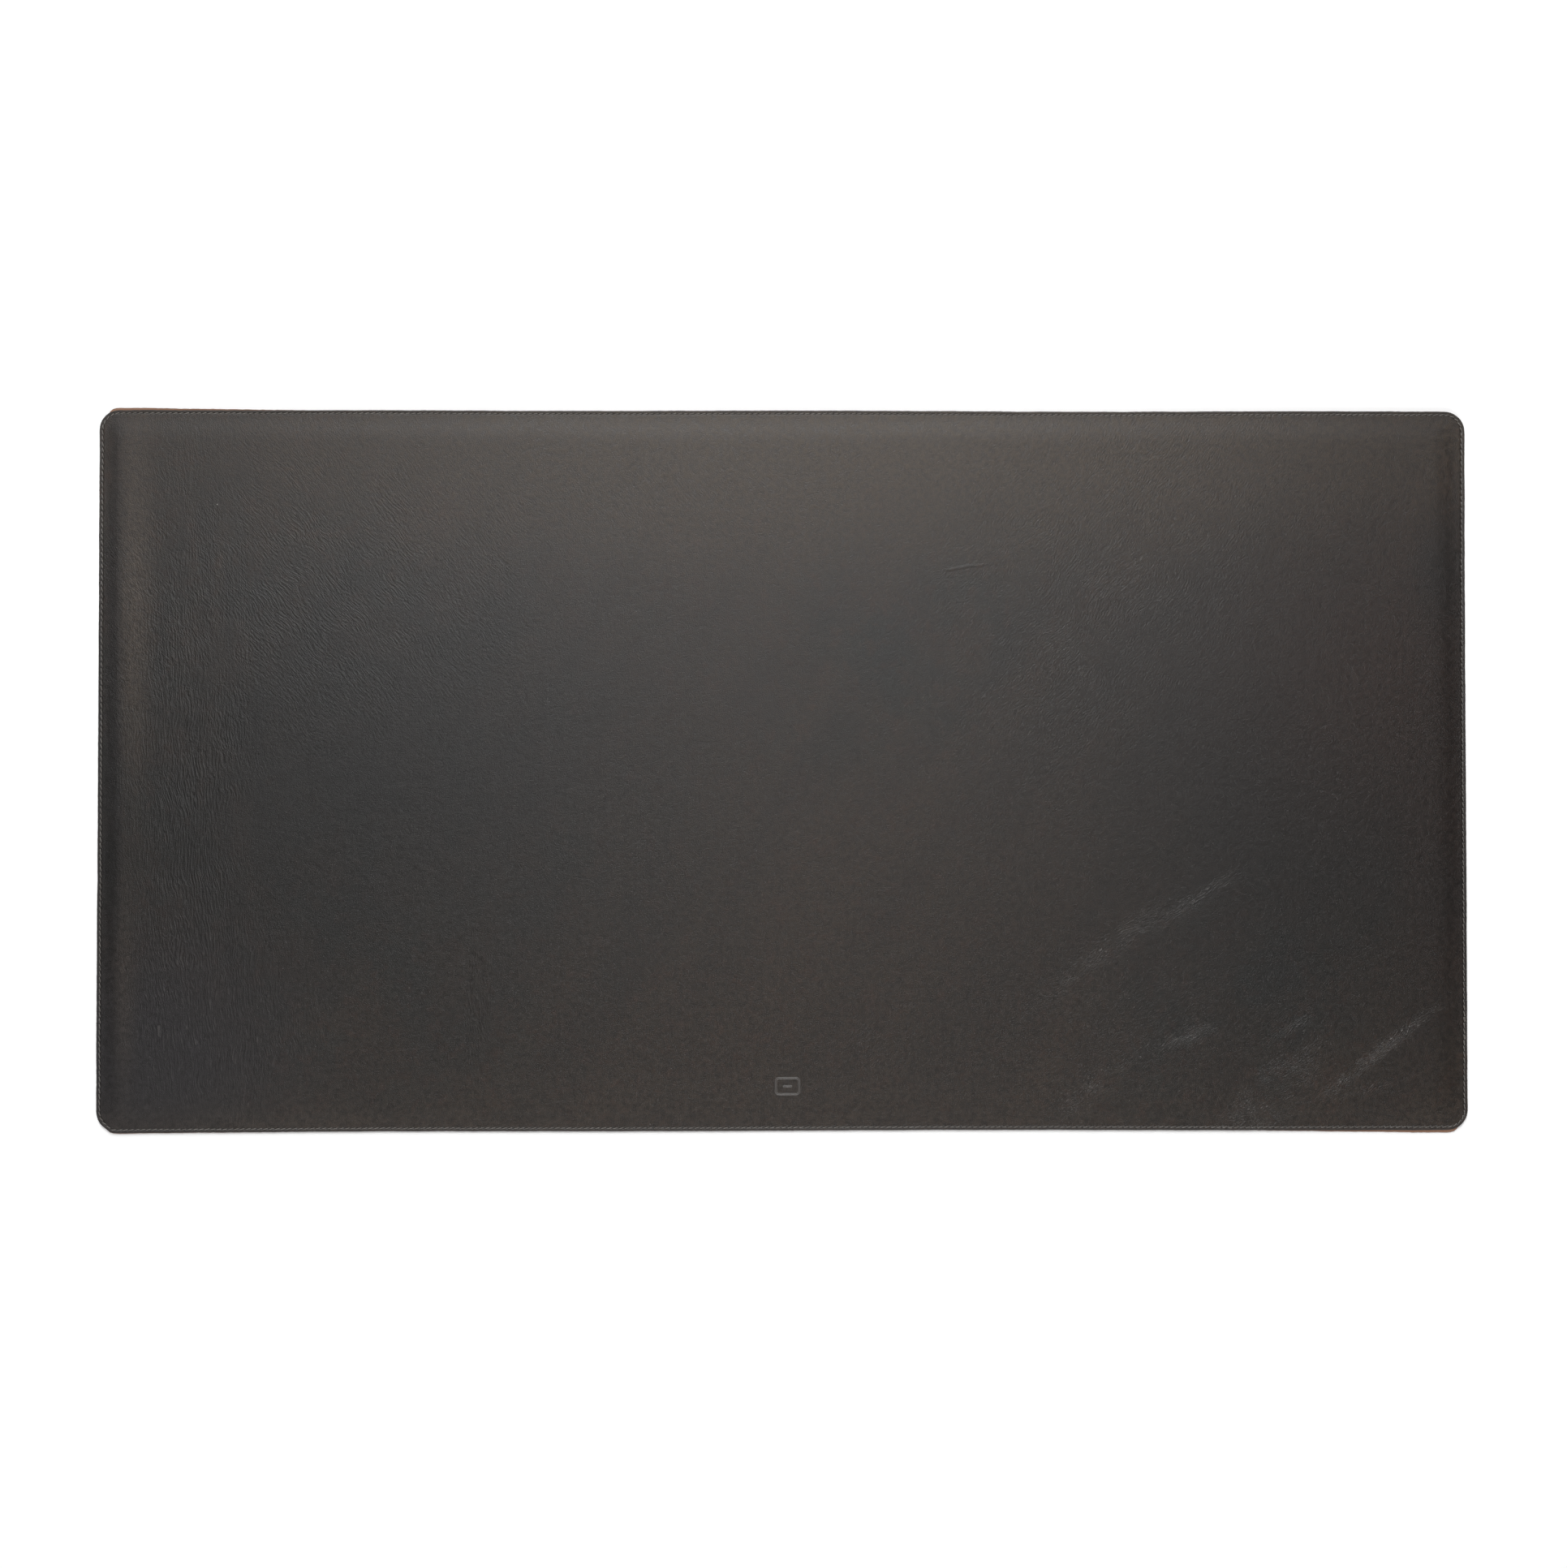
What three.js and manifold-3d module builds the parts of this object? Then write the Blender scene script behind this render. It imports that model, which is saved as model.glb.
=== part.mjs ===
// Sewn leather desk mat, in millimetres.
//
// +X runs along the long side, +Y away from the person at the desk, +Z up.
// The origin is the middle of the underside, on the desk.
//
// From the desk up, the mat is a backing leather, a filler board that stops short
// of the edge, and a top leather that lies over the board and steps down to the
// margin, where one lock-stitched seam joins it to the backing. The seam's two
// threads lie in shallow grooves, the needle thread above and the bobbin thread
// below, so nothing stands lower than the backing.

import * as THREE from 'three';
import { mergeVertices } from 'three/addons/utils/BufferGeometryUtils.js';
import Module from 'manifold-3d';

const wasm = await Module();
wasm.setup();

// Driving dimensions
const LENGTH = 950;
const WIDTH = 500;
const CORNER_RADIUS = 14;
const SMALLEST_RADIUS = 1;
const CORNER_STEPS = 10;

const BACKING_THICK = 0.75;
const CORE_THICK = 1;
const TOP_THICK = 1.25;

const CORE_INSET = 9;
const CORE_FIT_GAP = 0.3;
const FIELD_INSET = 10;
const SHOULDER_WIDTH = 6;
const SHOULDER_STEPS = 3;

// The backing was trimmed a little wide at two opposite corners.
const FLARE_DEPTH = 1.75;
const FLARE_LENGTH = 160;

const SEAM_INSET = 2.25;
const GROOVE_WIDTH = 1.5;
const TOP_GROOVE_DEPTH = 0.5;
const NEEDLE_THREAD_WIDTH = 0.9;
const NEEDLE_THREAD_RISE = 0.125;
const UNDER_GROOVE_DEPTH = 0.375;
const BOBBIN_THREAD_WIDTH = 0.75;
const BOBBIN_THREAD_HEIGHT = 0.3125;

// The seam starts and ends on the right-hand side, where its stitches are doubled.
const BACK_TACK = { y: -177, length: 25, width: 1.3, cornerRadius: 0.5 };

// Blind stamp: a plain frame round a short bar.
const MARK_CENTRE = { x: 2.5, y: -219 };
const MARK_LENGTH = 17;
const MARK_WIDTH = 12;
const MARK_RADIUS = 2.5;
const MARK_LINE = 0.9;
const MARK_BAR_LENGTH = 6;
const MARK_BAR_RADIUS = 0.3;
const MARK_DEPTH = 0.25;

// Vertices closer than this are one vertex.
const WELD_DISTANCE = 1e-4;

// Heights above the desk
const marginFloor = BACKING_THICK;
const marginTop = marginFloor + TOP_THICK;
const coreTop = marginFloor + CORE_THICK;
const fieldTop = coreTop + TOP_THICK;
const shoulderRise = fieldTop - marginTop;

const topMaterial = new THREE.MeshStandardMaterial({ color: '#423f3c', roughness: 0.5, metalness: 0 });
const coreMaterial = new THREE.MeshStandardMaterial({ color: '#7a5f49', roughness: 0.9, metalness: 0 });
const backingMaterial = new THREE.MeshStandardMaterial({ color: '#b0805f', roughness: 0.85, metalness: 0 });
const threadMaterial = new THREE.MeshStandardMaterial({ color: '#7d7873', roughness: 0.45, metalness: 0 });

// Adds a rounded rectangle to a Shape or Path, anticlockwise, from the start of its right-hand side.
function roundedRectangle(path, length, width, radius) {
  const x = length / 2 - radius;
  const y = width / 2 - radius;
  path.moveTo(x + radius, -y);
  path.lineTo(x + radius, y);
  path.absarc(x, y, radius, 0, Math.PI / 2);
  path.lineTo(-x, y + radius);
  path.absarc(-x, y, radius, Math.PI / 2, Math.PI);
  path.lineTo(-x - radius, -y);
  path.absarc(-x, -y, radius, Math.PI, 1.5 * Math.PI);
  path.lineTo(x, -y - radius);
  path.absarc(x, -y, radius, 1.5 * Math.PI, 2 * Math.PI);
  return path;
}

// The mat's outline moved inwards by an inset, with its corners kept concentric.
function matOutline(inset) {
  const radius = Math.max(CORNER_RADIUS - inset, SMALLEST_RADIUS);
  return roundedRectangle(new THREE.Shape(), LENGTH - 2 * inset, WIDTH - 2 * inset, radius);
}

// A band that follows the mat's edge, centred at an inset.
function edgeBand(inset, bandWidth) {
  const band = matOutline(inset - bandWidth / 2);
  band.holes.push(matOutline(inset + bandWidth / 2));
  return band;
}

// The backing's outline: the mat's, flared past it at the back left and front right corners.
function backingOutline() {
  const x = LENGTH / 2 - CORNER_RADIUS;
  const y = WIDTH / 2 - CORNER_RADIUS;
  const flareStart = LENGTH / 2 - FLARE_LENGTH;
  const outline = new THREE.Shape();
  outline.moveTo(LENGTH / 2, -y - FLARE_DEPTH);
  outline.lineTo(LENGTH / 2, y);
  outline.absarc(x, y, CORNER_RADIUS, 0, Math.PI / 2);
  outline.lineTo(-flareStart, WIDTH / 2);
  outline.lineTo(-x, WIDTH / 2 + FLARE_DEPTH);
  outline.absarc(-x, y + FLARE_DEPTH, CORNER_RADIUS, Math.PI / 2, Math.PI);
  outline.lineTo(-LENGTH / 2, -y);
  outline.absarc(-x, -y, CORNER_RADIUS, Math.PI, 1.5 * Math.PI);
  outline.lineTo(flareStart, -WIDTH / 2);
  outline.lineTo(x, -WIDTH / 2 - FLARE_DEPTH);
  outline.absarc(x, -y - FLARE_DEPTH, CORNER_RADIUS, 1.5 * Math.PI, 2 * Math.PI);
  return outline;
}

// A flat slab of a shape, from a height up by a thickness.
function slab(shape, bottom, thickness) {
  const geometry = new THREE.ExtrudeGeometry(shape, {
    depth: thickness,
    bevelEnabled: false,
    curveSegments: CORNER_STEPS,
  });
  return geometry.translate(0, 0, bottom);
}

// The raised field of the top leather: flat above, with a rounded shoulder down to the margin.
function raisedField() {
  const straight = marginTop - marginFloor - shoulderRise;
  const geometry = new THREE.ExtrudeGeometry(matOutline(FIELD_INSET), {
    depth: straight,
    bevelEnabled: true,
    bevelThickness: shoulderRise,
    bevelSize: SHOULDER_WIDTH,
    bevelSegments: SHOULDER_STEPS,
    curveSegments: CORNER_STEPS,
  });
  return geometry.translate(0, 0, marginFloor + shoulderRise);
}

function toSolid(geometry) {
  const bare = geometry.clone();
  bare.deleteAttribute('normal');
  bare.deleteAttribute('uv');
  const merged = mergeVertices(bare, WELD_DISTANCE);
  return new wasm.Manifold(new wasm.Mesh({
    numProp: 3,
    vertProperties: new Float32Array(merged.attributes.position.array),
    triVerts: new Uint32Array(merged.index.array),
  }));
}

function toGeometry(solid) {
  const mesh = solid.getMesh();
  const geometry = new THREE.BufferGeometry();
  geometry.setAttribute('position', new THREE.BufferAttribute(mesh.vertProperties, 3));
  geometry.setIndex(new THREE.BufferAttribute(mesh.triVerts, 1));
  geometry.computeVertexNormals();
  return geometry;
}

// The two pockets of the blind stamp.
function markPockets() {
  const frame = roundedRectangle(new THREE.Shape(), MARK_LENGTH, MARK_WIDTH, MARK_RADIUS);
  const inside = roundedRectangle(
    new THREE.Path(),
    MARK_LENGTH - 2 * MARK_LINE,
    MARK_WIDTH - 2 * MARK_LINE,
    MARK_RADIUS - MARK_LINE,
  );
  frame.holes.push(inside);
  const bar = roundedRectangle(new THREE.Shape(), MARK_BAR_LENGTH, MARK_LINE, MARK_BAR_RADIUS);
  return [frame, bar].map((shape) => {
    const pocket = slab(shape, fieldTop - MARK_DEPTH, 2 * MARK_DEPTH);
    return toSolid(pocket.translate(MARK_CENTRE.x, MARK_CENTRE.y, 0));
  });
}

function topLeather() {
  const margin = toSolid(slab(matOutline(0), marginFloor, TOP_THICK));
  const recessOutline = matOutline(CORE_INSET - CORE_FIT_GAP);
  const recess = toSolid(slab(recessOutline, marginFloor - CORE_THICK, 2 * CORE_THICK));
  const grooveBand = edgeBand(SEAM_INSET, GROOVE_WIDTH);
  const groove = toSolid(slab(grooveBand, marginTop - TOP_GROOVE_DEPTH, 2 * TOP_GROOVE_DEPTH));
  let solid = margin.add(toSolid(raisedField())).subtract(recess).subtract(groove);
  for (const pocket of markPockets()) {
    solid = solid.subtract(pocket);
  }
  return toGeometry(solid);
}

function coreBoard() {
  return slab(matOutline(CORE_INSET), marginFloor, CORE_THICK);
}

function backingLeather() {
  const sheet = toSolid(slab(backingOutline(), 0, BACKING_THICK));
  const grooveBand = edgeBand(SEAM_INSET, GROOVE_WIDTH);
  const groove = toSolid(slab(grooveBand, -UNDER_GROOVE_DEPTH, 2 * UNDER_GROOVE_DEPTH));
  return toGeometry(sheet.subtract(groove));
}

function needleThread() {
  const bottom = marginTop - TOP_GROOVE_DEPTH;
  const height = TOP_GROOVE_DEPTH + NEEDLE_THREAD_RISE;
  const run = toSolid(slab(edgeBand(SEAM_INSET, NEEDLE_THREAD_WIDTH), bottom, height));
  const tackShape = roundedRectangle(
    new THREE.Shape(),
    BACK_TACK.width,
    BACK_TACK.length,
    BACK_TACK.cornerRadius,
  );
  const tack = slab(tackShape, bottom, height).translate(LENGTH / 2 - SEAM_INSET, BACK_TACK.y, 0);
  return toGeometry(run.add(toSolid(tack)));
}

function bobbinThread() {
  const bottom = UNDER_GROOVE_DEPTH - BOBBIN_THREAD_HEIGHT;
  return slab(edgeBand(SEAM_INSET, BOBBIN_THREAD_WIDTH), bottom, BOBBIN_THREAD_HEIGHT);
}

const mat = new THREE.Group();

function addPiece(name, geometry, material) {
  const piece = new THREE.Mesh(geometry, material.clone());
  piece.name = name;
  mat.add(piece);
}

addPiece('top_leather', topLeather(), topMaterial);
addPiece('core_board', coreBoard(), coreMaterial);
addPiece('backing_leather', backingLeather(), backingMaterial);
addPiece('needle_thread', needleThread(), threadMaterial);
addPiece('bobbin_thread', bobbinThread(), threadMaterial);

export default mat;
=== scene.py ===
"""The looks of a sewn leather desk mat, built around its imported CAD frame, in metres.

The mat is a closed outline of stitches. A place along the seam is a stitch coordinate q, which
counts needle holes anticlockwise from the front right corner, and a place across it is an inset
from the mat's edge. The rings of vertices round the edge, and both threads, are laid out in those
two. The top leather's field, inside them, is a plain grid with a finer patch for the stamp.
"""
import math

import bpy
import numpy as np
from mathutils import Matrix, Vector


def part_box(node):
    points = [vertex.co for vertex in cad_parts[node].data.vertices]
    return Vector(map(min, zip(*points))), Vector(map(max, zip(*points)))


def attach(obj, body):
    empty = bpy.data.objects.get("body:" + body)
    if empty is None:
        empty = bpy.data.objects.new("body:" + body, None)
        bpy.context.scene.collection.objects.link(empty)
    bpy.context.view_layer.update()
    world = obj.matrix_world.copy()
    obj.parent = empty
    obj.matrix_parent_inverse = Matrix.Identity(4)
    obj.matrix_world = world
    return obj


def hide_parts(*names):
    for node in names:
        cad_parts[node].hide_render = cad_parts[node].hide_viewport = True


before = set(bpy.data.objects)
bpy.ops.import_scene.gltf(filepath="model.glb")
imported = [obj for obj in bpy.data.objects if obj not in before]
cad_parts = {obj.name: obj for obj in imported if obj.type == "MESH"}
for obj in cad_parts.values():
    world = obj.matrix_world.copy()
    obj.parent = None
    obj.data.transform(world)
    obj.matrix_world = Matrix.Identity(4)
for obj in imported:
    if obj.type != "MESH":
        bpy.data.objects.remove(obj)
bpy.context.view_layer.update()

MM = 0.001

# ---------------------------------------------------------------- sizes from the frame

top_lo, top_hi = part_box("top_leather")
core_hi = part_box("core_board")[1]
backing_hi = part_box("backing_leather")[1]

HALF_X, HALF_Y = top_hi.x, top_hi.y
MARGIN_FLOOR = top_lo.z
FIELD_TOP = top_hi.z
CORE_TOP = core_hi.z
CORE_INSET = HALF_X - core_hi.x
TOP_THICK = FIELD_TOP - CORE_TOP
MARGIN_TOP = MARGIN_FLOOR + TOP_THICK
FLARE_DEPTH = backing_hi.y - HALF_Y

# ---------------------------------------------------------------- sizes that the boxes don't give

CORNER_RADIUS = 14 * MM
CORE_FIT_GAP = 0.3 * MM
SEAM_INSET = 2.3 * MM
SHOULDER_START = 3.9 * MM
SHOULDER_END_LEFT, SHOULDER_END_RIGHT, SHOULDER_END_SIDES = 16 * MM, 21 * MM, 20 * MM
FLARE_LENGTH = 160 * MM

STITCHES_LONG_SIDE = 229
STITCHES_SHORT_SIDE = 117
STITCHES_CORNER = 5

THREAD_RADIUS = 0.27 * MM
BOBBIN_RADIUS = 0.17 * MM
PLIES = 3
PLY_DEPTH = 0.13
SLIT_HALF_WIDTH = 0.28 * MM
SLIT_HALF_LENGTH = 0.62 * MM
SLIT_DEPTH = 0.75 * MM
PULL_DEPTH = 0.27 * MM

MARK_X, MARK_Y = 2.5 * MM, -219 * MM
MARK_LENGTH, MARK_WIDTH, MARK_RADIUS = 17 * MM, 12 * MM, 2.6 * MM
MARK_LINE = 0.9 * MM
MARK_BAR_LENGTH = 6 * MM
MARK_DEPTH = 0.26 * MM

SEED = 364
rng = np.random.default_rng(SEED)


# ---------------------------------------------------------------- the edge

CORE_X, CORE_Y = HALF_X - CORNER_RADIUS, HALF_Y - CORNER_RADIUS

# The eight stretches of the edge, anticlockwise from the front right corner: how many stitches,
# where the stretch's anchor starts and ends, and where its outward direction starts and ends.
STRETCHES = [
    (STITCHES_SHORT_SIDE, (CORE_X, -CORE_Y), (CORE_X, CORE_Y), 0, 0),
    (STITCHES_CORNER, (CORE_X, CORE_Y), (CORE_X, CORE_Y), 0, 90),
    (STITCHES_LONG_SIDE, (CORE_X, CORE_Y), (-CORE_X, CORE_Y), 90, 90),
    (STITCHES_CORNER, (-CORE_X, CORE_Y), (-CORE_X, CORE_Y), 90, 180),
    (STITCHES_SHORT_SIDE, (-CORE_X, CORE_Y), (-CORE_X, -CORE_Y), 180, 180),
    (STITCHES_CORNER, (-CORE_X, -CORE_Y), (-CORE_X, -CORE_Y), 180, 270),
    (STITCHES_LONG_SIDE, (-CORE_X, -CORE_Y), (CORE_X, -CORE_Y), 270, 270),
    (STITCHES_CORNER, (CORE_X, -CORE_Y), (CORE_X, -CORE_Y), 270, 360),
]
STITCHES = sum(stretch[0] for stretch in STRETCHES)


def smooth(value, low, high):
    """0 below low, 1 above high, and an S-curve between them."""
    t = np.clip((value - low) / (high - low), 0, 1)
    return t * t * (3 - 2 * t)


def hump(value, centre, width):
    """A bell curve of height 1."""
    return np.exp(-(((value - centre) / width) ** 2))


def edge_frame(q):
    """The anchor point, outward direction and forward direction at each stitch coordinate."""
    q = np.mod(np.asarray(q, float), STITCHES)
    starts = np.cumsum([0] + [stretch[0] for stretch in STRETCHES])
    which = np.searchsorted(starts, q, side="right") - 1
    counts = np.array([stretch[0] for stretch in STRETCHES], float)
    begin = np.array([stretch[1] for stretch in STRETCHES], float)
    end = np.array([stretch[2] for stretch in STRETCHES], float)
    turn = np.radians(np.array([stretch[3:5] for stretch in STRETCHES], float))
    t = (q - starts[which]) / counts[which]
    anchor = begin[which] + (end - begin)[which] * t[:, None]
    angle = turn[which, 0] + (turn[which, 1] - turn[which, 0]) * t
    outward = np.stack([np.cos(angle), np.sin(angle)], axis=1)
    forward = np.stack([-np.sin(angle), np.cos(angle)], axis=1)
    return anchor, outward, forward


def wander(q, waves, size):
    """A seeded smooth curve round the whole edge, of about the given size, made of whole waves."""
    phases = rng.uniform(0, 2 * math.pi, len(waves))
    weights = rng.uniform(0.5, 1, len(waves)) * size / math.sqrt(len(waves))
    turns = 2 * math.pi * q[:, None] / STITCHES
    return (np.cos(turns * np.array(waves)[None, :] + phases) * weights).sum(axis=1)


# Tables of the edge's own irregularity, read at any stitch coordinate.
TABLE_STEPS = 8
table_q = np.arange(STITCHES * TABLE_STEPS) / TABLE_STEPS
edge_wander = wander(table_q, range(2, 9), 0.35 * MM) + wander(table_q, range(30, 90, 4), 0.07 * MM)
# Where the cutter strayed: (middle, half width, how far out in mm), the first two in stitches.
STRAYS = [(321, 16, -0.45), (156, 25, 0.35), (457, 22, 0.40), (500, 18, 0.55), (343, 22, -0.55)]
for middle, half_width, out_mm in STRAYS:
    edge_wander += out_mm * MM * hump(table_q, middle, half_width)
seam_wander = wander(table_q, range(40, 160, 7), 0.06 * MM)
raw_wander = wander(table_q, range(60, 700, 17), 0.10 * MM)


def look_up(table, q):
    return np.interp(np.mod(q, STITCHES), table_q, table, period=STITCHES)


def flare(anchor, outward, side, corner_x):
    """How far towards a corner a point on the back (+1) or front (-1) edge is: 0 far away, 1 at it."""
    on_side = smooth(outward[:, 1] * side, 0.80, 0.98)
    reach = 1 - np.abs(corner_x - anchor[:, 0]) / (FLARE_LENGTH - CORNER_RADIUS)
    return np.clip(reach, 0, 1) * on_side


def top_shift(q):
    """How far the top leather's edge lies outside its straight outline. It bulges at the front left."""
    anchor, outward, _ = edge_frame(q)
    return look_up(edge_wander, q) + 1.1 * MM * flare(anchor, outward, -1, -CORE_X) ** 2


def backing_shift(q):
    """The same for the backing, which shows past the top leather, mostly at two corners."""
    anchor, outward, _ = edge_frame(q)
    flares = flare(anchor, outward, 1, -CORE_X) + 1.1 * flare(anchor, outward, -1, CORE_X)
    front_left = 0.5 * MM * flare(anchor, outward, -1, -CORE_X)
    return top_shift(q) + FLARE_DEPTH * flares + front_left + look_up(raw_wander, q)


def edge_points(q, inset, shift, slant=0.0):
    """XY of points at an inset from the edge. slant moves them forward along it."""
    anchor, outward, forward = edge_frame(q)
    fade = 1 - smooth(inset, 4 * MM, CORNER_RADIUS)
    reach = CORNER_RADIUS - inset + shift * fade
    return anchor + outward * np.reshape(reach, (-1, 1)) + forward * np.reshape(slant, (-1, 1))


# ---------------------------------------------------------------- mesh making


class Body:
    """Vertices and faces of one closed mesh, laid down ring by ring."""

    def __init__(self):
        self.points = []
        self.faces = []
        self.slots = []
        self.flat = []
        self.grooves = []
        self.count = 0

    def add(self, xy, z, groove=0.0):
        """Adds vertices, which lie so far inside a groove (0 to 1), and gives their indices."""
        xyz = np.column_stack([xy, np.broadcast_to(z, (len(xy),))])
        self.points.append(xyz)
        self.grooves.append(np.full(len(xyz), groove))
        first = self.count
        self.count += len(xyz)
        return np.arange(first, self.count)

    def face(self, corners, slot=0, flat=False):
        self.faces.append([int(c) for c in corners])
        self.slots.append(slot)
        self.flat.append(flat)

    def strip(self, outer, inner, slot=0):
        """Quads between two closed rings of as many vertices."""
        n = len(outer)
        for i in range(n):
            j = (i + 1) % n
            self.face([outer[i], outer[j], inner[j], inner[i]], slot)

    def gather(self, fine, coarse, fine_is_outer):
        """Joins a fine ring to coarse, which names the coarse vertex that each fine vertex meets."""
        n = len(fine)
        for i in range(n):
            j = (i + 1) % n
            ring = [fine[i], fine[j], coarse[j], coarse[i]]
            if coarse[i] == coarse[j]:
                ring.pop()
            if not fine_is_outer:
                ring.reverse()
            self.face(ring)

    def build(self, name, materials):
        mesh = bpy.data.meshes.new(name)
        mesh.from_pydata(np.concatenate(self.points).tolist(), [], self.faces)
        for material in materials:
            mesh.materials.append(material)
        mesh.polygons.foreach_set("material_index", self.slots)
        mesh.polygons.foreach_set("use_smooth", [not flat for flat in self.flat])
        mesh.update()
        obj = bpy.data.objects.new(name, mesh)
        bpy.context.scene.collection.objects.link(obj)
        return obj


def columns(fractions):
    """The stitch coordinates of a ring that has these fractions of every stitch."""
    return (np.arange(STITCHES)[:, None] + np.array(fractions)[None, :]).reshape(-1)


# A needle slit's half width, as a share of a stitch.
SLIT_STEP = SLIT_HALF_WIDTH / (2 * CORE_X / STITCHES_LONG_SIDE)
EDGE_COLUMNS = columns([0, 0.5])
SEAM_COLUMNS = columns([0, SLIT_STEP, 0.5, 1 - SLIT_STEP])
SEAM_TO_EDGE = np.mod(np.round(SEAM_COLUMNS * 2).astype(int), 2 * STITCHES)


# ---------------------------------------------------------------- the top leather's surface

# The sheet lies almost flat: long low waves, as (waves per metre in X, in Y, height in mm).
SWELLS = [(1.1, 0.6, 0.10), (2.3, -1.4, 0.06), (0.7, 2.6, 0.07), (3.9, 1.9, 0.03), (5.2, -3.7, 0.02)]
swell_phases = rng.uniform(0, 2 * math.pi, len(SWELLS))


def swell(xy):
    height = np.zeros(len(xy))
    for (across, along, size), phase in zip(SWELLS, swell_phases):
        height += size * MM * np.sin(2 * math.pi * (across * xy[:, 0] + along * xy[:, 1]) + phase)
    return height


def shoulder(xy):
    """Height of the top leather: the margin all round, and the field inside its shoulder."""
    end = np.where(xy[:, 0] < 0, SHOULDER_END_LEFT, SHOULDER_END_RIGHT)
    from_ends = smooth(HALF_X - np.abs(xy[:, 0]), SHOULDER_START, end)
    from_sides = smooth(HALF_Y - np.abs(xy[:, 1]), SHOULDER_START, SHOULDER_END_SIDES)
    return MARGIN_TOP + (FIELD_TOP - MARGIN_TOP) * from_ends * from_sides


def seam_dip(q, inset):
    """How far the thread has pulled the leather down, with the needle slits."""
    off_seam = inset - SEAM_INSET
    to_hole = np.abs(q - np.round(q))
    pulled = PULL_DEPTH * hump(off_seam, 0, 0.62 * MM)
    at_hole = (to_hole < SLIT_STEP / 2) * (1 - smooth(abs(off_seam), 0.4 * MM, SLIT_HALF_LENGTH))
    slit = SLIT_DEPTH * at_hole
    bulge = 0.05 * MM * np.cos(2 * math.pi * q) * hump(off_seam, 1.5 * MM, 0.7 * MM)
    return pulled + slit + bulge


def slit_slant(inset):
    """The needle slits lie at 45 degrees to the seam, so the columns do too where they cross it."""
    off_seam = inset - SEAM_INSET
    return -off_seam * (1 - smooth(abs(off_seam), 0.75 * MM, 1.35 * MM))


def round_box(x, y, length, width, radius):
    """Signed distance to a rounded rectangle, negative inside."""
    dx = np.abs(x) - (length / 2 - radius)
    dy = np.abs(y) - (width / 2 - radius)
    outside = np.hypot(np.maximum(dx, 0), np.maximum(dy, 0))
    return outside + np.minimum(np.maximum(dx, dy), 0) - radius


def mark_distance(xy):
    """Distance to the blind stamp's lines, negative inside them: a plain frame round a short bar."""
    x, y = xy[:, 0] - MARK_X, xy[:, 1] - MARK_Y
    half_line = MARK_LINE / 2
    frame_line = np.abs(
        round_box(x, y, MARK_LENGTH - MARK_LINE, MARK_WIDTH - MARK_LINE, MARK_RADIUS - half_line)
    ) - half_line
    return np.minimum(frame_line, round_box(x, y, MARK_BAR_LENGTH, MARK_LINE, 0.4 * half_line))


def mark_dip(xy):
    """Depth of the blind stamp, with the leather round it pressed a little too."""
    x, y = xy[:, 0] - MARK_X, xy[:, 1] - MARK_Y
    groove = 1 - smooth(mark_distance(xy), -0.22 * MM, 0.18 * MM)
    pressed = 1 - smooth(round_box(x, y, MARK_LENGTH, MARK_WIDTH, MARK_RADIUS), 0, 1.6 * MM)
    return MARK_DEPTH * groove + 0.05 * MM * pressed


# A sheet's second material is its cut edge.
EDGE_SLOT = 1
# Insets of the top leather's rings across the seam, and then across the shoulder.
SEAM_RINGS_MM = (0.90, 1.30, 1.64, 1.92, 2.25, 2.58, 2.90, 3.3, 3.8)
SHOULDER_RINGS_MM = (4.5, 5.4, 6.4, 7.4, 8.4, 9.4, 10.4, 11.5, 12.7)


def strips_within(before, rings):
    """The numbers of the strips between some rings, when other rings come before them."""
    return range(len(before), len(before) + len(rings) - 1)


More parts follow.
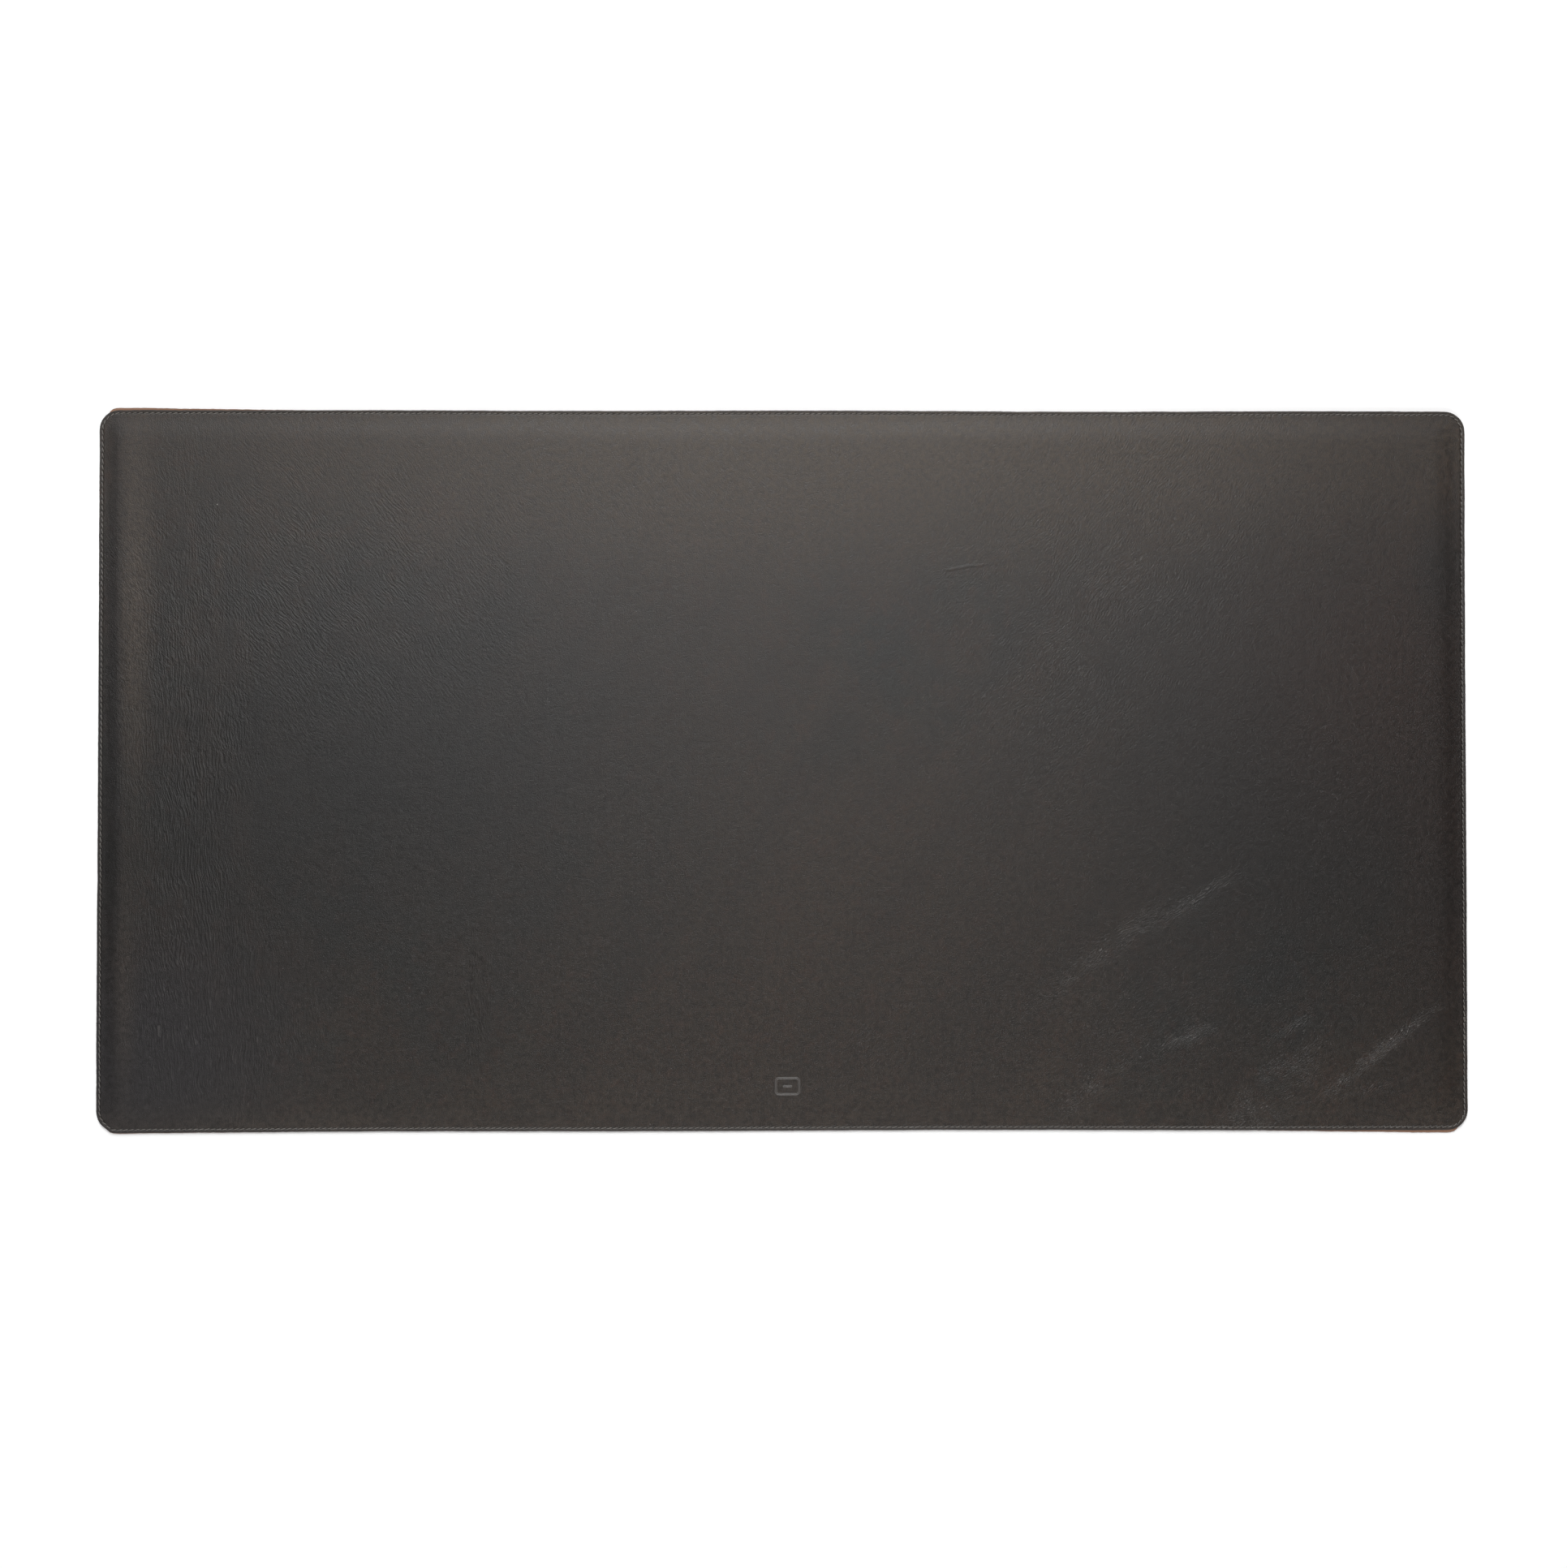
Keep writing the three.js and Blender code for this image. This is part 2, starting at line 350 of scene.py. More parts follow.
def top_rings(body):
    """The top leather from its recess, round its cut edge and in to the field. Gives the last ring.

    The cut edge is dyed, and its three outermost rings wander a little by themselves.
    """
    under = [(CORE_INSET - CORE_FIT_GAP, CORE_TOP), (CORE_INSET - CORE_FIT_GAP, MARGIN_FLOOR)]
    edge = [
        (0.15 * MM, MARGIN_FLOOR),
        (0.02 * MM, MARGIN_FLOOR + 0.16 * MM),
        (0.0 * MM, MARGIN_FLOOR + 0.62 * MM),
        (0.10 * MM, MARGIN_TOP - 0.26 * MM),
        (0.30 * MM, MARGIN_TOP - 0.08 * MM),
        (0.62 * MM, MARGIN_TOP),
    ]
    shift = top_shift(EDGE_COLUMNS)
    rough = look_up(raw_wander, EDGE_COLUMNS)
    outermost = edge[1:4]
    rings = []
    for inset, z in under + edge:
        wobble = rough * 0.6 if (inset, z) in outermost else 0
        rings.append(body.add(edge_points(EDGE_COLUMNS, inset, shift + wobble), z))
    dyed = strips_within(under, edge)
    for i, (outer, inner) in enumerate(zip(rings, rings[1:])):
        body.strip(outer, inner, slot=EDGE_SLOT if i in dyed else 0)
    body.face(rings[0][::-1], flat=True)

    seam_shift = top_shift(SEAM_COLUMNS)
    seam_rings = []
    for inset_mm in SEAM_RINGS_MM:
        inset = inset_mm * MM
        xy = edge_points(SEAM_COLUMNS, inset, seam_shift, slit_slant(inset))
        groove = hump(inset, SEAM_INSET, 0.5 * MM)
        seam_rings.append(body.add(xy, shoulder(xy) - seam_dip(SEAM_COLUMNS, inset), groove))
    body.gather(seam_rings[0], rings[-1][SEAM_TO_EDGE], fine_is_outer=False)
    for outer, inner in zip(seam_rings, seam_rings[1:]):
        body.strip(outer, inner)

    inner_rings = []
    for inset_mm in SHOULDER_RINGS_MM:
        inset = inset_mm * MM
        xy = edge_points(EDGE_COLUMNS, inset, shift)
        inner_rings.append(body.add(xy, shoulder(xy) + swell(xy) * smooth(inset, 4 * MM, CORNER_RADIUS)))
    body.gather(seam_rings[-1], inner_rings[0][SEAM_TO_EDGE], fine_is_outer=True)
    for outer, inner in zip(inner_rings, inner_rings[1:]):
        body.strip(outer, inner)
    return inner_rings[-1]


def field_grid(body):
    """The flat field: one cell for each stitch. Gives the grid's vertex indices, by row and column."""
    xs = np.linspace(-CORE_X, CORE_X, STITCHES_LONG_SIDE + 1)
    ys = np.linspace(-CORE_Y, CORE_Y, STITCHES_SHORT_SIDE + 1)
    grid_x, grid_y = np.meshgrid(xs, ys)
    xy = np.column_stack([grid_x.ravel(), grid_y.ravel()])
    ids = body.add(xy, shoulder(xy) + swell(xy)).reshape(grid_x.shape)
    return xs, ys, ids


def grid_edge(ids):
    """A grid's outside vertices, anticlockwise from its lower right corner."""
    return np.concatenate([ids[:-1, -1], ids[-1, :0:-1], ids[:0:-1, 0], ids[0, :-1]])


def field_meets():
    """Each edge column's place in the grid's outside ring, where a corner's columns share one."""
    place = []
    passed = 0
    for stitches, begin, end, _, _ in STRETCHES:
        straight = begin != end
        for i in range(2 * stitches):
            place.append(passed + (i // 2 if straight else 0))
        passed += stitches if straight else 0
    return np.mod(place, passed)


def mark_cells(xs, ys):
    """The block of cells that the mark's finer patch takes the place of."""
    margin = 3 * MM
    left = np.searchsorted(xs, MARK_X - MARK_LENGTH / 2 - margin) - 1
    right = np.searchsorted(xs, MARK_X + MARK_LENGTH / 2 + margin)
    low = np.searchsorted(ys, MARK_Y - MARK_WIDTH / 2 - margin) - 1
    high = np.searchsorted(ys, MARK_Y + MARK_WIDTH / 2 + margin)
    return left, right, low, high


def mark_patch(body, xs, ys, ids, cells):
    """A fine grid for the mark, joined to the coarse cells round it."""
    left, right, low, high = cells
    rim, step = 1.2 * MM, 0.25 * MM
    x0, x1, y0, y1 = xs[left] + rim, xs[right] - rim, ys[low] + rim, ys[high] - rim
    fine_xs = np.linspace(x0, x1, int((x1 - x0) / step) + 1)
    fine_ys = np.linspace(y0, y1, int((y1 - y0) / step) + 1)
    grid_x, grid_y = np.meshgrid(fine_xs, fine_ys)
    xy = np.column_stack([grid_x.ravel(), grid_y.ravel()])
    fine = body.add(xy, shoulder(xy) + swell(xy) - mark_dip(xy)).reshape(grid_x.shape)
    for row in range(len(fine_ys) - 1):
        for col in range(len(fine_xs) - 1):
            body.face([fine[row, col], fine[row, col + 1], fine[row + 1, col + 1], fine[row + 1, col]])
    coarse = grid_edge(ids[low : high + 1, left : right + 1])
    across, along = right - left, high - low
    meets = []
    passed = 0
    for coarse_n, fine_n in ((along, len(fine_ys) - 1), (across, len(fine_xs) - 1)) * 2:
        meets += [passed + int(round(i * coarse_n / fine_n)) for i in range(fine_n)]
        passed += coarse_n
    body.gather(grid_edge(fine), coarse[np.mod(meets, passed)], fine_is_outer=False)


def make_top_leather(materials):
    body = Body()
    last = top_rings(body)
    xs, ys, ids = field_grid(body)
    body.gather(last, grid_edge(ids)[field_meets()], fine_is_outer=True)
    cells = mark_cells(xs, ys)
    left, right, low, high = cells
    for row in range(len(ys) - 1):
        for col in range(len(xs) - 1):
            if low <= row < high and left <= col < right:
                continue
            body.face([ids[row, col], ids[row, col + 1], ids[row + 1, col + 1], ids[row + 1, col]])
    mark_patch(body, xs, ys, ids, cells)
    sheet = body.build("top_leather_sheet", materials)
    xy = np.concatenate(body.points)[:, :2]
    # Painted shade in the seam's groove.
    paint(sheet, "groove", np.concatenate(body.grooves))
    # A painted highlight along the stamp's lines.
    paint(sheet, "painted_glint", hump(mark_distance(xy), 0, 0.22 * MM))
    # These areas include painted shade, painted highlights and a painted sheen.
    for name, table in HIDE_AREAS.items():
        paint(sheet, name, ovals_at(xy, table))
    return sheet


# ---------------------------------------------------------------- the layers below


def make_slab(name, materials, rings, shift, edge_strips=()):
    """A closed sheet from rings of (inset, height), from under its middle round to above it."""
    body = Body()
    made = [body.add(edge_points(EDGE_COLUMNS, inset, shift), z) for inset, z in rings]
    for i, (outer, inner) in enumerate(zip(made, made[1:])):
        body.strip(outer, inner, slot=EDGE_SLOT if i in edge_strips else 0)
    body.face(made[0][::-1], flat=True)
    body.face(made[-1], flat=True)
    return body.build(name, materials)


def make_core_board(material):
    bevel = 0.15 * MM
    rings = [
        (CORE_INSET + bevel, MARGIN_FLOOR),
        (CORE_INSET, MARGIN_FLOOR + bevel),
        (CORE_INSET, CORE_TOP - bevel),
        (CORE_INSET + bevel, CORE_TOP),
    ]
    return make_slab("filler_board", [material], rings, 0)


def make_backing(materials):
    groove = 0.36 * MM
    half = 0.8 * MM
    under = [
        (8 * MM, 0),
        (SEAM_INSET + 1.4 * MM, 0),
        (SEAM_INSET + half, 0.05 * MM),
        (SEAM_INSET + half * 0.6, groove),
        (SEAM_INSET, groove + 0.03 * MM),
        (SEAM_INSET - half * 0.6, groove),
        (SEAM_INSET - half, 0.05 * MM),
        (0.7 * MM, 0.02 * MM),
    ]
    edge = [
        (0.25 * MM, 0.05 * MM),
        (0.05 * MM, 0.16 * MM),
        (0.0 * MM, 0.36 * MM),
        (0.05 * MM, 0.62 * MM),
        (0.38 * MM, MARGIN_FLOOR - 0.02 * MM),
    ]
    above = [(0.7 * MM, MARGIN_FLOOR), (8 * MM, MARGIN_FLOOR)]
    shift = backing_shift(EDGE_COLUMNS)
    cut_edge = strips_within(under, edge)
    return make_slab("backing_leather_sheet", materials, under + edge + above, shift, cut_edge)


# ---------------------------------------------------------------- the threads


def thread_tube(name, material, centre, outward, radius, sides, twist):
    """A twisted thread along a path: a tube of a few sides whose section has a lobe for each ply."""
    forward = np.gradient(centre, axis=0)
    forward /= np.linalg.norm(forward, axis=1)[:, None]
    side = outward - forward * (outward * forward).sum(axis=1)[:, None]
    side /= np.linalg.norm(side, axis=1)[:, None]
    up = np.cross(forward, side)
    steps = np.linalg.norm(np.diff(centre, axis=0), axis=1)
    along = np.concatenate([[0], np.cumsum(steps)])
    body = Body()
    angles = np.arange(sides) * 2 * math.pi / sides
    section = radius * (1 + PLY_DEPTH * np.cos(PLIES * angles))
    turn = along[:, None] * (2 * math.pi / twist) + angles[None, :]
    points = centre[:, None, :] + section[None, :, None] * (
        np.cos(turn)[:, :, None] * side[:, None, :] + np.sin(turn)[:, :, None] * up[:, None, :]
    )
    ids = body.add(points[:, :, :2].reshape(-1, 2), points[:, :, 2].reshape(-1))
    ids = ids.reshape(len(centre), sides)
    for k in range(len(centre) - 1):
        body.strip(ids[k], ids[k + 1])
    body.face(ids[0][::-1])
    body.face(ids[-1])
    return body.build(name, [material])


# How far along each stitch its thread's rings are: closer together near the holes.
STITCH_STEPS = np.array([0, 0.045, 0.09, 0.15, 0.24, 0.37, 0.5, 0.63, 0.76, 0.85, 0.91, 0.955])


def stitch_path(q, in_hole, between, lean):
    """Centre of a thread, at one height in the holes and another between them, that leans across the seam.

    On the mat's two short sides it stays a little nearer to its height in the holes.
    """
    anchor, outward, _ = edge_frame(q)
    t = np.mod(q, 1)
    near_hole = np.minimum(t, 1 - t)
    shift = top_shift(q) + look_up(seam_wander, q)
    side_step = -lean * np.cos(math.pi * t) * smooth(near_hole, 0, 0.10)
    reach = 1 - 0.14 * np.abs(outward[:, 0])
    z = in_hole + (between - in_hole) * reach * smooth(near_hole, 0.01, 0.27) ** 0.8
    xy = anchor + outward * (CORNER_RADIUS - SEAM_INSET + shift - side_step)[:, None]
    path = np.column_stack([xy, z])
    return path, np.column_stack([outward, np.zeros(len(q))])


def make_needle_thread(material):
    """One run round the mat from a hole on the right-hand side, with its first stitches sewn over again."""
    start, doubled = 11, 7
    holes = np.arange(start, start + STITCHES + doubled)
    q = (holes[:, None] + STITCH_STEPS[None, :]).reshape(-1)
    q = np.append(q, holes[-1] + 1)
    in_hole, between, lean = MARGIN_TOP - 0.9 * MM, MARGIN_TOP - 0.02 * MM, 0.32 * MM
    path, outward = stitch_path(q, in_hole, between, lean)
    over = smooth(q, STITCHES + start - 0.5, STITCHES + start + 0.5)
    sway = 0.30 * MM * np.sin(q * 2.1 + 0.6)
    beside, above = 0.34 * MM, 0.16 * MM
    path[:, :2] += outward[:, :2] * (over * (beside + sway))[:, None]
    path[:, 2] += over * above * smooth(np.minimum(q % 1, 1 - q % 1), 0, 0.2)
    size = {"radius": THREAD_RADIUS, "sides": 9, "twist": 4.6 * MM}
    return thread_tube("needle_thread_stitches", material, path, outward, **size)


def make_bobbin_thread(material):
    steps = STITCH_STEPS[::2]
    q = (np.arange(STITCHES)[:, None] + steps[None, :]).reshape(-1)
    q = np.append(q, STITCHES - 0.02)
    in_hole, between, lean = 0.34 * MM, 0.20 * MM, 0.30 * MM
    path, outward = stitch_path(q, in_hole, between, lean)
    size = {"radius": BOBBIN_RADIUS, "sides": 6, "twist": 4 * MM}
    return thread_tube("bobbin_thread_stitches", material, path, outward, **size)


# ---------------------------------------------------------------- materials


class Shader:
    """A material's node tree, with short ways to add the nodes used here."""

    def __init__(self, name):
        self.material = bpy.data.materials.new(name)
        self.material.use_nodes = True
        self.nodes = self.material.node_tree.nodes
        self.links = self.material.node_tree.links
        self.surface = self.nodes["Principled BSDF"]
        coordinates = self.nodes.new("ShaderNodeTexCoord")
        self.place = coordinates.outputs["Object"]

    def put(self, socket, value):
        """Links a node's output to a socket, or sets the socket to a plain value."""
        if hasattr(value, "is_output"):
            self.links.new(value, socket)
        else:
            socket.default_value = value

    def math(self, operation, a, b, c=0.0):
        node = self.nodes.new("ShaderNodeMath")
        node.operation = operation
        for socket, value in zip(node.inputs, (a, b, c)):
            self.put(socket, value)
        return node.outputs[0]

    def span(self, value, low, high, to_low=0.0, to_high=1.0):
        """Maps low..high to to_low..to_high along an S-curve, held at both ends."""
        node = self.nodes.new("ShaderNodeMapRange")
        node.interpolation_type = "SMOOTHSTEP"
        self.put(node.inputs["Value"], value)
        ends = {"From Min": low, "From Max": high, "To Min": to_low, "To Max": to_high}
        for name, number in ends.items():
            self.put(node.inputs[name], number)
        return node.outputs["Result"]

    def painted(self, name):
        """A number that paint() gave to each vertex."""
        node = self.nodes.new("ShaderNodeAttribute")
        node.attribute_name = name
        return node.outputs["Fac"]

    def stretched(self, scale, turn=0.0, place=None, centre=(0, 0)):
        """The place from a centre, turned about Z and then divided by a scale along each axis."""
        node = self.nodes.new("ShaderNodeMapping")
        node.vector_type = "TEXTURE"
        self.put(node.inputs["Vector"], place or self.place)
        node.inputs["Location"].default_value = (centre[0], centre[1], 0)
        node.inputs["Rotation"].default_value = (0, 0, math.radians(turn))
        node.inputs["Scale"].default_value = scale
        return node.outputs["Vector"]

    def noise(self, size, detail, roughness, place=None, colour=False):
        """Noise whose features are about size metres across, or size of the stretched place's units."""
        node = self.nodes.new("ShaderNodeTexNoise")
        self.put(node.inputs["Vector"], place or self.place)
        node.inputs["Scale"].default_value = 1 / size
        node.inputs["Detail"].default_value = detail
        node.inputs["Roughness"].default_value = roughness
        return node.outputs["Color" if colour else "Fac"]

    def cells(self, size, place=None, edges=True):
        """Distance to the nearest cell wall, or to the nearest cell centre."""
        node = self.nodes.new("ShaderNodeTexVoronoi")
        node.feature = "DISTANCE_TO_EDGE" if edges else "F1"
        self.put(node.inputs["Vector"], place or self.place)
        node.inputs["Scale"].default_value = 1 / size
        return node.outputs["Distance"]

    def warped(self, place, size, amount):
        """The place, pushed about by noise."""
        push = self.noise(size, 2.0, 0.5, place, colour=True)
        node = self.nodes.new("ShaderNodeVectorMath")
        node.operation = "MULTIPLY_ADD"
        self.put(node.inputs[0], push)
        node.inputs[1].default_value = (amount, amount, amount)
        self.put(node.inputs[2], place)
        return node.outputs[0]

    def ovals(self, table, place):
        """The same sum of ovals as ovals_at gives, worked out at each point of the surface."""
        result = 0.0
        for x, y, along, across, turn, strength in table:
            oval = self.stretched((along * MM, across * MM, 1), turn, place, (x * MM, y * MM))
            length = self.nodes.new("ShaderNodeVectorMath")
            length.operation = "LENGTH"
            self.put(length.inputs[0], oval)
            inside = self.span(length.outputs["Value"], 0.0, 1.0, strength, 0.0)
            result = self.math("ADD", inside, result)
        return result

    def blend(self, amount, a, b):
        node = self.nodes.new("ShaderNodeMix")
        node.data_type = "RGBA"
        self.put(node.inputs["Factor"], amount)
        self.put(node.inputs["A"], a)
        self.put(node.inputs["B"], b)
        return node.outputs["Result"]

    def total(self, *parts):
        result = parts[0]
        for part in parts[1:]:
            result = self.math("ADD", result, part)
        return result

    def finish(self, colour, roughness, height, **constants):
        """Links the colour, roughness and a bump whose height is in metres, and sets plain sockets."""
        self.put(self.surface.inputs["Base Color"], colour)
        self.put(self.surface.inputs["Roughness"], roughness)
        bump = self.nodes.new("ShaderNodeBump")
        bump.inputs["Strength"].default_value = 1
        bump.inputs["Distance"].default_value = 1
        self.put(bump.inputs["Height"], height)
        self.put(self.surface.inputs["Normal"], bump.outputs["Normal"])
        for name, value in constants.items():
            self.surface.inputs[name.replace("_", " ")].default_value = value
        return self.material


def rgb(red, green, blue):
    return (red, green, blue, 1)


# The darkest the dyed hide gets in its own mottling and streaks, and the painted shade in its grain
# creases, its seam groove, its dim parts and its dark shoulder bands.
DEEP = rgb(0.0060, 0.0050, 0.0046)


def leather_grain(shader):
    """Height of the fine grain everywhere: rounded cells with creases between them."""
    place = shader.warped(shader.place, 0.004, 0.0012)
    walls = shader.cells(0.00105, place)
    small_walls = shader.cells(0.00056, place)
    dome = shader.span(walls, 0.0, 0.25, -48e-6, 0.0)
    fine = shader.span(small_walls, 0.0, 0.25, -22e-6, 0.0)
    return shader.total(dome, fine)


# Where fine wrinkles run: direction in degrees, length, width and depth of one wrinkle in mm, and how
# strong a painted highlight their crests get.
WRINKLES = [
    (130, 5.5, 1.0, 0.12, 0.15),
    (93, 9.0, 1.05, 0.17, 0.25),
    (57, 4.2, 0.85, 0.10, 0.35),
    (33, 3.8, 0.75, 0.17, 1.0),
]

# Parts of the hide, each a sum of ovals as (x, y, half length, half width, turn, strength in the
# middle) in mm and degrees: where its wrinkles of each direction are, and where its tone is cooler,
# more violet, redder, paler, streaked, darker, dimmer or warmer. Paler is a painted highlight on the
# left shoulder and the front margin, darker and dimmer are painted shade on the shoulder bands and
# over most of each half, warmer is a painted sheen along the back, and one violet oval paints the
# shade of the left shoulder. A strength below 0 takes away from the ovals that it overlaps.
HIDE_AREAS = {
    "wrinkles_130": [(-330, 130, 240, 180, 0, 0.8), (-60, 190, 200, 60, 0, 0.3)],
    "wrinkles_93": [
        (-412, 20, 75, 330, 0, 0.9),
        (-385, -175, 110, 110, 0, 0.8),
        (-213, -165, 16, 90, 0, 0.8),
    ],
    "wrinkles_57": [(215, 130, 330, 190, 50, 0.8), (60, -190, 75, 45, 45, 0.8)],
    "wrinkles_33": [
        (250, -175, 300, 100, 10, 0.25),
        (411, -197, 82, 8, 38, 1.4),
        (335, -231, 75, 28, 45, 0.95),
        (212, -224, 60, 19, 38, 0.45),
        (280, -186, 28, 9, 20, 1.0),
        (222, -125, 85, 13, 38, 0.7),
        (288, -88, 60, 9, 33, 0.7),
        (353, -178, 22, 6, 30, 0.9),
        (405, -222, 40, 7, 15, 0.6),
    ],
    "cool": [(-330, -10, 360, 400, 0, 1.1), (325, -150, 210, 130, 60, 1.0), (85, 95, 190, 130, 40, 1.0)],
    # The narrow violet oval at the left end is painted shade on the shoulder.
    "violet_and_painted_shade": [(-435, -200, 160, 150, 0, 1.1), (-463, 90, 9, 300, 0, 0.8)],
    "red": [(430, 70, 190, 180, 0, 0.75), (470, -90, 60, 120, 0, 0.5)],
    # Painted highlights on the left shoulder and along the front margin.
    "pale": [
        (-450, 130, 19, 210, 0, 0.9),
        (-456, -150, 12, 120, 0, 0.4),
        (-330, -252, 260, 26, 0, 0.35),
        (440, -252, 110, 30, 0, 0.3),
        (0, -262, 700, 70, 0, 0.35),
    ],
    "streaked": [(-390, 10, 120, 330, 0, 1.0)],
    # Painted shade on the shoulders at both ends.
    "dark": [
        (456, 140, 30, 60, 0, 0.5),
        (460, -85, 30, 62, 0, 0.5),
        (475, 60, 50, 170, 0, 0.4),
        (-466, -66, 12, 36, 0, 0.6),
        (-470, -20, 12, 230, 0, 0.6),
        (-463, 0, 7, 330, 0, 0.4),
    ],
    # Painted shade over most of each half, taken away along the front and the back.
    "painted_shade": [
        (-270, 0, 340, 270, 0, 1.7),
        (370, 0, 330, 320, 0, 1.8),
        (-440, -240, 270, 130, 0, -1.5),
        (430, -245, 200, 90, 0, -0.8),
        (-400, 240, 360, 150, 0, -1.5),
        (0, 250, 400, 120, 0, -0.8),
        (470, 240, 150, 130, 0, -0.9),
        (0, -250, 400, 80, 0, -0.5),
    ],
    # A painted sheen along the back.
    "painted_top_sheen": [(60, 250, 640, 150, 0, 1.0)],
}

# Single creases, as ovals of the same kind.
CREASES = [
    (-214, -160, 70, 0.9, 87, 1.0),
    (-274, -137, 15, 0.9, 62, 1.0),
    (-262, -192, 25, 0.9, 4, 0.8),
    (-336, -226, 28, 0.9, 10, 0.8),
    (-150, -228, 30, 0.9, 2, 0.8),
    (128, 143, 24, 1.6, 8, 1.6),
    (292, -88, 12, 0.9, 25, 1.2),
    (361, -206, 9, 0.9, -6, 1.2),
    (388, -216, 10, 0.9, 52, 1.2),
    (425, -222, 10, 0.9, 5, 1.2),
]


def ovals_at(xy, table):
    """The sum of a table's ovals at each point: each at its strength in its middle and 0 at its rim."""
    result = np.zeros(len(xy))
    for x, y, along, across, turn, strength in table:
        away = xy - np.array([x, y]) * MM
        cosine, sine = math.cos(math.radians(turn)), math.sin(math.radians(turn))
        u = (away[:, 0] * cosine + away[:, 1] * sine) / (along * MM)
        v = (away[:, 1] * cosine - away[:, 0] * sine) / (across * MM)
        result += strength * (1 - smooth(np.hypot(u, v), 0, 1))
    return result


def paint(sheet, name, numbers):
    """Gives every vertex a number that a material can read."""
    sheet.data.attributes.new(name, "FLOAT", "POINT").data.foreach_set("value", numbers)


def leather_wrinkles(shader):
    """Height of the wrinkles, each direction where the hide has it, and the painted highlight on their
    crests.
    """
    bent = shader.warped(shader.place, 0.045, 0.016)
    clusters = shader.span(shader.noise(0.022, 2, 0.5, bent), 0.34, 0.52, 0.35, 1.0)
    height = crests = 0.0
    for turn, length, width, depth, painted_glint in WRINKLES:
        wrinkle = (length * MM, width * MM, width * MM)
        lines = shader.noise(1, 1.5, 0.5, shader.stretched(wrinkle, turn, bent))
        here = shader.painted(f"wrinkles_{turn}")
        folds = shader.span(lines, 0.36, 0.66, -depth * MM, 0.0)
        height = shader.math("MULTIPLY_ADD", folds, here, height)
        # A painted highlight on each wrinkle's crest.
        tops = shader.span(lines, 0.64, 0.75, 0.0, painted_glint)
        crests = shader.math("MULTIPLY_ADD", tops, here, crests)
    creases = shader.ovals(CREASES, shader.warped(shader.place, 0.012, 0.004))
    height = shader.math("MULTIPLY_ADD", height, clusters, shader.math("MULTIPLY", creases, 90e-6))
    return height, shader.math("MULTIPLY", crests, clusters)


def leather_tone(shader, mottle):
    """Colour of the dyed hide, with painted shade and painted highlights over it, before its creases."""
    brown, cool = rgb(0.0268, 0.0165, 0.0098), rgb(0.0132, 0.0130, 0.0104)
    rust, painted_top_sheen = rgb(0.0340, 0.0160, 0.0090), rgb(0.0560, 0.0390, 0.0245)
    violet_and_painted_shade, red = rgb(0.0155, 0.0130, 0.0146), rgb(0.0230, 0.0096, 0.0055)
    pale = rgb(0.0560, 0.0410, 0.0300)
    patchy = shader.span(shader.noise(0.055, 3, 0.6), 0.38, 0.60, 1.1, 0.25)
    tone = shader.blend(shader.math("MULTIPLY", shader.painted("cool"), patchy), brown, cool)
    blots = shader.span(shader.noise(0.009, 4, 0.7), 0.50, 0.62, 0.0, 0.6)
    tone = shader.blend(blots, tone, rust)
    upright = shader.noise(1, 2, 0.5, shader.stretched((0.009, 0.12, 0.1)))
    upright = shader.span(upright, 0.38, 0.62, 0.0, 0.7)
    tone = shader.blend(shader.math("MULTIPLY", shader.painted("streaked"), upright), tone, DEEP)
    slanting = shader.noise(1, 2, 0.5, shader.stretched((0.22, 0.035, 0.1), 57))
    tone = shader.blend(shader.span(slanting, 0.35, 0.65, 0.0, 0.3), tone, DEEP)
    # Painted shade over the dim parts.
    tone = shader.blend(shader.math("MULTIPLY", shader.painted("painted_shade"), 0.50), tone, DEEP)
    # Painted sheen along the back, violet hide with painted shade along the left shoulder, redder hide, and
    # painted highlights on the left shoulder and front margin.
    for name, colour in (("painted_top_sheen", painted_top_sheen), ("violet_and_painted_shade", violet_and_painted_shade), ("red", red), ("pale", pale)):
        tone = shader.blend(shader.painted(name), tone, colour)
    # Painted shade on the shoulder bands at both ends.
    tone = shader.blend(shader.painted("dark"), tone, DEEP)
    return shader.blend(shader.span(mottle, 0.30, 0.70, 0.0, 0.60), tone, DEEP)


def dust(shader):
    """1 on a few tiny pale specks."""
    specks = shader.span(shader.cells(0.05, edges=False), 0.006, 0.010, 1.0, 0.0)
    return shader.math("MULTIPLY", specks, shader.span(shader.noise(0.03, 0, 0.5), 0.50, 0.56))


